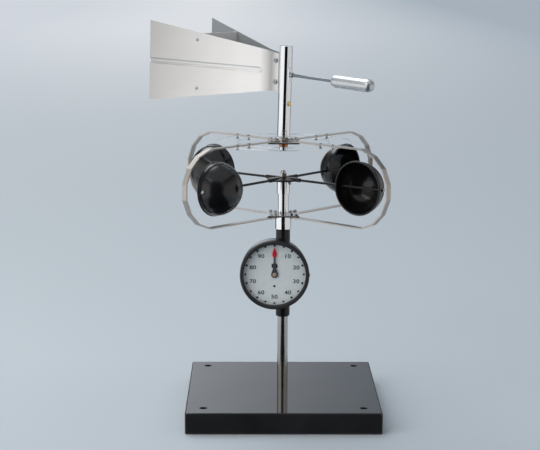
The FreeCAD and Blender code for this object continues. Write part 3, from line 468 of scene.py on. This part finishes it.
def numeral(text, x, z, height, weight, name, wide=1.0):
    cu = bpy.data.curves.new(name, "FONT")
    cu.body = text
    cu.size = 1.0
    cu.align_x = "CENTER"
    cu.resolution_u = 6
    cu.offset = weight
    cu.space_character = 1.04
    tmp = bpy.data.objects.new(name + "_t", cu)
    bpy.context.scene.collection.objects.link(tmp)
    bpy.context.view_layer.update()
    dg = bpy.context.evaluated_depsgraph_get()
    me = bpy.data.meshes.new_from_object(tmp.evaluated_get(dg))
    bpy.data.objects.remove(tmp)
    ys = [v.co.y for v in me.vertices]
    xs = [v.co.x for v in me.vertices]
    k = height * mm / (max(ys) - min(ys))
    cy, cx = (max(ys) + min(ys)) / 2, (max(xs) + min(xs)) / 2
    b = bmesh.new()
    b.from_mesh(me)
    bpy.data.meshes.remove(me)
    for v in b.verts:
        v.co = Vector((GX + x * mm + (v.co.x - cx) * k * wide, DY - 0.001 * mm, GZ + z * mm + (v.co.y - cy) * k))
    r = bmesh.ops.extrude_face_region(b, geom=b.faces[:])
    for v in [g for g in r["geom"] if isinstance(g, bmesh.types.BMVert)]:
        v.co.y -= FILM
    bmesh.ops.recalc_face_normals(b, faces=b.faces)
    return b


def merge(parts, name):
    whole = bmesh.new()
    for b in parts:
        me = bpy.data.meshes.new("tmp")
        b.to_mesh(me)
        b.free()
        whole.from_mesh(me)
        bpy.data.meshes.remove(me)
    return from_bm(whole, name, INK, "stand")


parts = []
for k in range(1, 10):
    a = math.radians(90 - 36 * k)
    r = 21.6
    parts.append(numeral(str(10 * k), r * math.cos(a), r * math.sin(a), 3.9, 0.024, "n%d" % k, 1.18))
merge(parts, "dial_numbers")
merge([numeral("m", 0.0, 8.4, 4.0, 0.06, "unit", 1.05)], "dial_unit")

# ---------------------------------------------------------------------------
# studio: pale floor, soft light, camera
# ---------------------------------------------------------------------------
F = 1544.33
PITCH, YAW, ROLL = 0.1755, 0.0100, 0.0038
cam_d = bpy.data.cameras.new("camera")
cam_d.sensor_width = 36.0
cam_d.lens = F * 36.0 / 540.0
cam_d.clip_start = 0.05
cam_d.clip_end = 100.0
cam = bpy.data.objects.new("camera", cam_d)
bpy.context.scene.collection.objects.link(cam)
fwd = Vector((math.sin(YAW) * math.cos(PITCH), math.cos(YAW) * math.cos(PITCH), -math.sin(PITCH)))
right = Vector((math.cos(YAW), -math.sin(YAW), 0))
up = right.cross(fwd)
r2 = math.cos(ROLL) * right + math.sin(ROLL) * up
u2 = -math.sin(ROLL) * right + math.cos(ROLL) * up
m = Matrix((r2, u2, -fwd)).transposed().to_4x4()
m.translation = Vector((-26.74, -1436.93, 432.10)) * mm
cam.matrix_world = m
bpy.context.scene.camera = cam

floor_t = Tree("floor_pale")
fv = floor_t.tc.outputs["Object"]
fn = floor_t.noise(floor_t.mapping((60, 60, 60)), 1.0, 3.0)
sep = floor_t.node("ShaderNodeSeparateXYZ")
floor_t.link(fv, sep.inputs[0])
# painted light and shade on the floor: paler far off to the left, darker to the right, and a painted shadow darkening
# the floor in front of the base
near = floor_t.mix(floor_t.remap(sep.outputs["X"], 0.0, 1.0, -1.0, 1.2), (0.545, 0.595, 0.622), (0.402, 0.452, 0.492))
far = floor_t.mix(floor_t.remap(sep.outputs["X"], 0.0, 1.0, -0.3, 1.5), (0.865, 0.875, 0.885), (0.46, 0.515, 0.565))
far = floor_t.mix(floor_t.remap(sep.outputs["X"], 1.0, 0.0, -1.4, -0.5), far, (0.77, 0.79, 0.82))
front_painted_shadow = floor_t.mix(floor_t.remap(sep.outputs["X"], 0.0, 1.0, -1.0, 1.2), (0.455, 0.505, 0.545), (0.375, 0.425, 0.465))
near = floor_t.mix(floor_t.remap(sep.outputs["Y"], 1.0, 0.0, -0.30, 0.18), near, front_painted_shadow)
gy = floor_t.node("ShaderNodeMapRange", interpolation_type="SMOOTHSTEP")
gy.inputs["From Min"].default_value = -0.4
gy.inputs["From Max"].default_value = 8.0
floor_t.link(sep.outputs["Y"], gy.inputs["Value"])
col = floor_t.mix(gy.outputs[0], near, far)
col = floor_t.mix(floor_t.remap(fn, 0.0, 0.02), col, (0.40, 0.42, 0.45))
floor_t.set(Base_Color=col, Roughness=0.9, Specular_IOR_Level=0.0)
bm = bmesh.new()
bmesh.ops.create_circle(bm, cap_ends=True, segments=96, radius=40.0)
me = bpy.data.meshes.new("floor")
bm.to_mesh(me)
bm.free()
me.materials.append(floor_t.mat)
floor = bpy.data.objects.new("floor", me)
floor.location = (0, 0, -0.0001)
bpy.context.scene.collection.objects.link(floor)


# a far pale wall that closes the backdrop in low views; only the camera sees it
wall_t = Tree("wall_pale")
wn = wall_t.noise(wall_t.mapping((0.2, 0.2, 0.2)), 1.0, 2.0)
wcol = wall_t.mix(wall_t.remap(wn, 0.0, 1.0), (0.50, 0.545, 0.585), (0.54, 0.585, 0.625))
wall_t.set(Base_Color=(0.01, 0.01, 0.01), Roughness=1.0, Specular_IOR_Level=0.0, Emission_Color=wcol,
           Emission_Strength=1.0)
bm = bmesh.new()
ring = [(39.0 * math.cos(2 * math.pi * i / 96), 39.0 * math.sin(2 * math.pi * i / 96)) for i in range(96)]
lo = [bm.verts.new((x, y, -0.5)) for x, y in ring]
hi = [bm.verts.new((x, y, 30.0)) for x, y in ring]
for i in range(96):
    bm.faces.new((lo[i], lo[(i + 1) % 96], hi[(i + 1) % 96], hi[i]))
me = bpy.data.meshes.new("wall")
bm.to_mesh(me)
bm.free()
me.materials.append(wall_t.mat)
wall = bpy.data.objects.new("wall", me)
bpy.context.scene.collection.objects.link(wall)
wall.visible_diffuse = False
wall.visible_glossy = False
wall.visible_shadow = False


def area(name, loc, target, w, h, power, color=(1, 1, 1)):
    ld = bpy.data.lights.new(name, "AREA")
    ld.shape = "RECTANGLE"
    ld.size, ld.size_y = w, h
    ld.energy = power
    ld.color = color
    o = bpy.data.objects.new(name, ld)
    o.location = loc
    o.rotation_euler = (Vector(target) - Vector(loc)).to_track_quat("-Z", "Y").to_euler()
    bpy.context.scene.collection.objects.link(o)
    return o


def radiance(w, h, value):
    return value * math.pi * w * h


key = area("key_left", (-1.24, -0.84, 0.80), (0, 0, 0.22), 1.60, 1.50, radiance(1.60, 1.50, 2.4), (1.0, 0.99, 0.975))
key.visible_camera = False
sun_d = bpy.data.lights.new("sky_panel", "SUN")
sun_d.energy = 1.08
sun_d.angle = math.radians(38)
sun = bpy.data.objects.new("sky_panel", sun_d)
sun.rotation_euler = Vector((-0.35, 0.55, 1.0)).to_track_quat("Z", "Y").to_euler()
bpy.context.scene.collection.objects.link(sun)

# dark flags beside and below the camera, which only reflections see
fl = Tree("flag_black")
fnz = fl.noise(fl.mapping((40, 40, 40)))
fl.set(Base_Color=fl.mix(fnz, (0.004, 0.004, 0.004), (0.008, 0.008, 0.008)), Roughness=1.0, Specular_IOR_Level=0.0)


def flag(name, pts):
    b = bmesh.new()
    b.faces.new([b.verts.new(p) for p in pts])
    me = bpy.data.meshes.new(name)
    b.to_mesh(me)
    b.free()
    me.materials.append(fl.mat)
    o = bpy.data.objects.new(name, me)
    bpy.context.scene.collection.objects.link(o)
    o.visible_camera = False
    o.visible_diffuse = False
    o.visible_shadow = False
    o.visible_transmission = False


flag("flag_floor", ((-0.14, -0.094, 0.0004), (0.14, -0.094, 0.0004), (0.78, -1.75, 0.0004), (-0.78, -1.75, 0.0004)))
flag("flag_wall", ((-0.78, -1.75, 0.0), (0.78, -1.75, 0.0), (0.78, -1.75, 1.6), (-0.78, -1.75, 1.6)))



def card(name, pts, value):
    """A pale card that only reflections see."""
    t = Tree(name)
    n = t.noise(t.mapping((3, 3, 3)))
    t.set(Base_Color=t.mix(n, (0.01, 0.01, 0.01), (0.012, 0.012, 0.012)), Specular_IOR_Level=0.0, Roughness=1.0,
          Emission_Color=(1.0, 1.0, 1.0))
    sep = t.node("ShaderNodeSeparateXYZ")
    t.link(t.tc.outputs["Object"], sep.inputs[0])
    t.set(Emission_Strength=t.remap(sep.outputs["Z"], value, 0.0, 0.34, 0.60))
    b = bmesh.new()
    b.faces.new([b.verts.new(p) for p in pts])
    me = bpy.data.meshes.new(name)
    b.to_mesh(me)
    b.free()
    me.materials.append(t.mat)
    o = bpy.data.objects.new(name, me)
    bpy.context.scene.collection.objects.link(o)
    o.visible_camera = False
    o.visible_diffuse = False
    o.visible_shadow = False
    o.visible_transmission = False


def sweep(r, a0, a1, z0, z1):
    """An upright card from azimuth a0 to a1, in degrees from the camera's side."""
    p = [(r * math.sin(math.radians(a)), -r * math.cos(math.radians(a))) for a in (a0, a1)]
    return [(p[0][0], p[0][1], z0), (p[1][0], p[1][1], z0), (p[1][0], p[1][1], z1), (p[0][0], p[0][1], z1)]


card("card_left", sweep(0.60, -27, -108, 0.0, 0.62), 1.05)
card("card_right", sweep(0.60, 28, 126, 0.0, 0.62), 0.66)
card("edge_left", sweep(0.70, -126, -166, 0.0, 0.50), 0.10)
card("edge_right", sweep(0.70, 136, 166, 0.0, 0.50), 0.14)

world = bpy.data.worlds.new("studio")
bpy.context.scene.world = world
world.use_nodes = True
wt = world.node_tree
wt.nodes.clear()
wo = wt.nodes.new("ShaderNodeOutputWorld")
bg = wt.nodes.new("ShaderNodeBackground")
wt.links.new(bg.outputs[0], wo.inputs[0])
tc = wt.nodes.new("ShaderNodeTexCoord")
sp = wt.nodes.new("ShaderNodeSeparateXYZ")
wt.links.new(tc.outputs["Generated"], sp.inputs[0])


def w_range(sock, lo, hi, a=0.0, b=1.0):
    n = wt.nodes.new("ShaderNodeMapRange")
    n.interpolation_type = "SMOOTHSTEP"
    n.inputs["From Min"].default_value = lo
    n.inputs["From Max"].default_value = hi
    n.inputs["To Min"].default_value = a
    n.inputs["To Max"].default_value = b
    wt.links.new(sock, n.inputs["Value"])
    return n.outputs[0]


def w_mix(fac, a, b):
    n = wt.nodes.new("ShaderNodeMix")
    n.data_type = "RGBA"
    wt.links.new(fac, n.inputs[0])
    for i, x in ((6, a), (7, b)):
        if isinstance(x, tuple):
            n.inputs[i].default_value = x + (1.0,)
        else:
            wt.links.new(x, n.inputs[i])
    return n.outputs[2]


# the backdrop's side is bright, fading to the right; the camera's side is dark
back = w_mix(w_range(sp.outputs["X"], -0.14, 0.12), (1.14, 1.20, 1.29), (0.36, 0.41, 0.47))
back = w_mix(w_range(sp.outputs["X"], -0.62, -0.34), (0.34, 0.37, 0.41), back)
front = w_mix(w_range(sp.outputs["Z"], 0.30, 0.70), (0.15, 0.155, 0.16), (0.62, 0.63, 0.65))
col = w_mix(w_range(sp.outputs["Y"], -0.15, 0.45), front, back)
wt.links.new(col, bg.inputs["Color"])
bg.inputs["Strength"].default_value = 1.0

bpy.context.scene.view_settings.view_transform = "Standard"
bpy.context.scene.view_settings.look = "None"
bpy.context.scene.view_settings.exposure = 0.0
bpy.context.scene.view_settings.gamma = 1.0
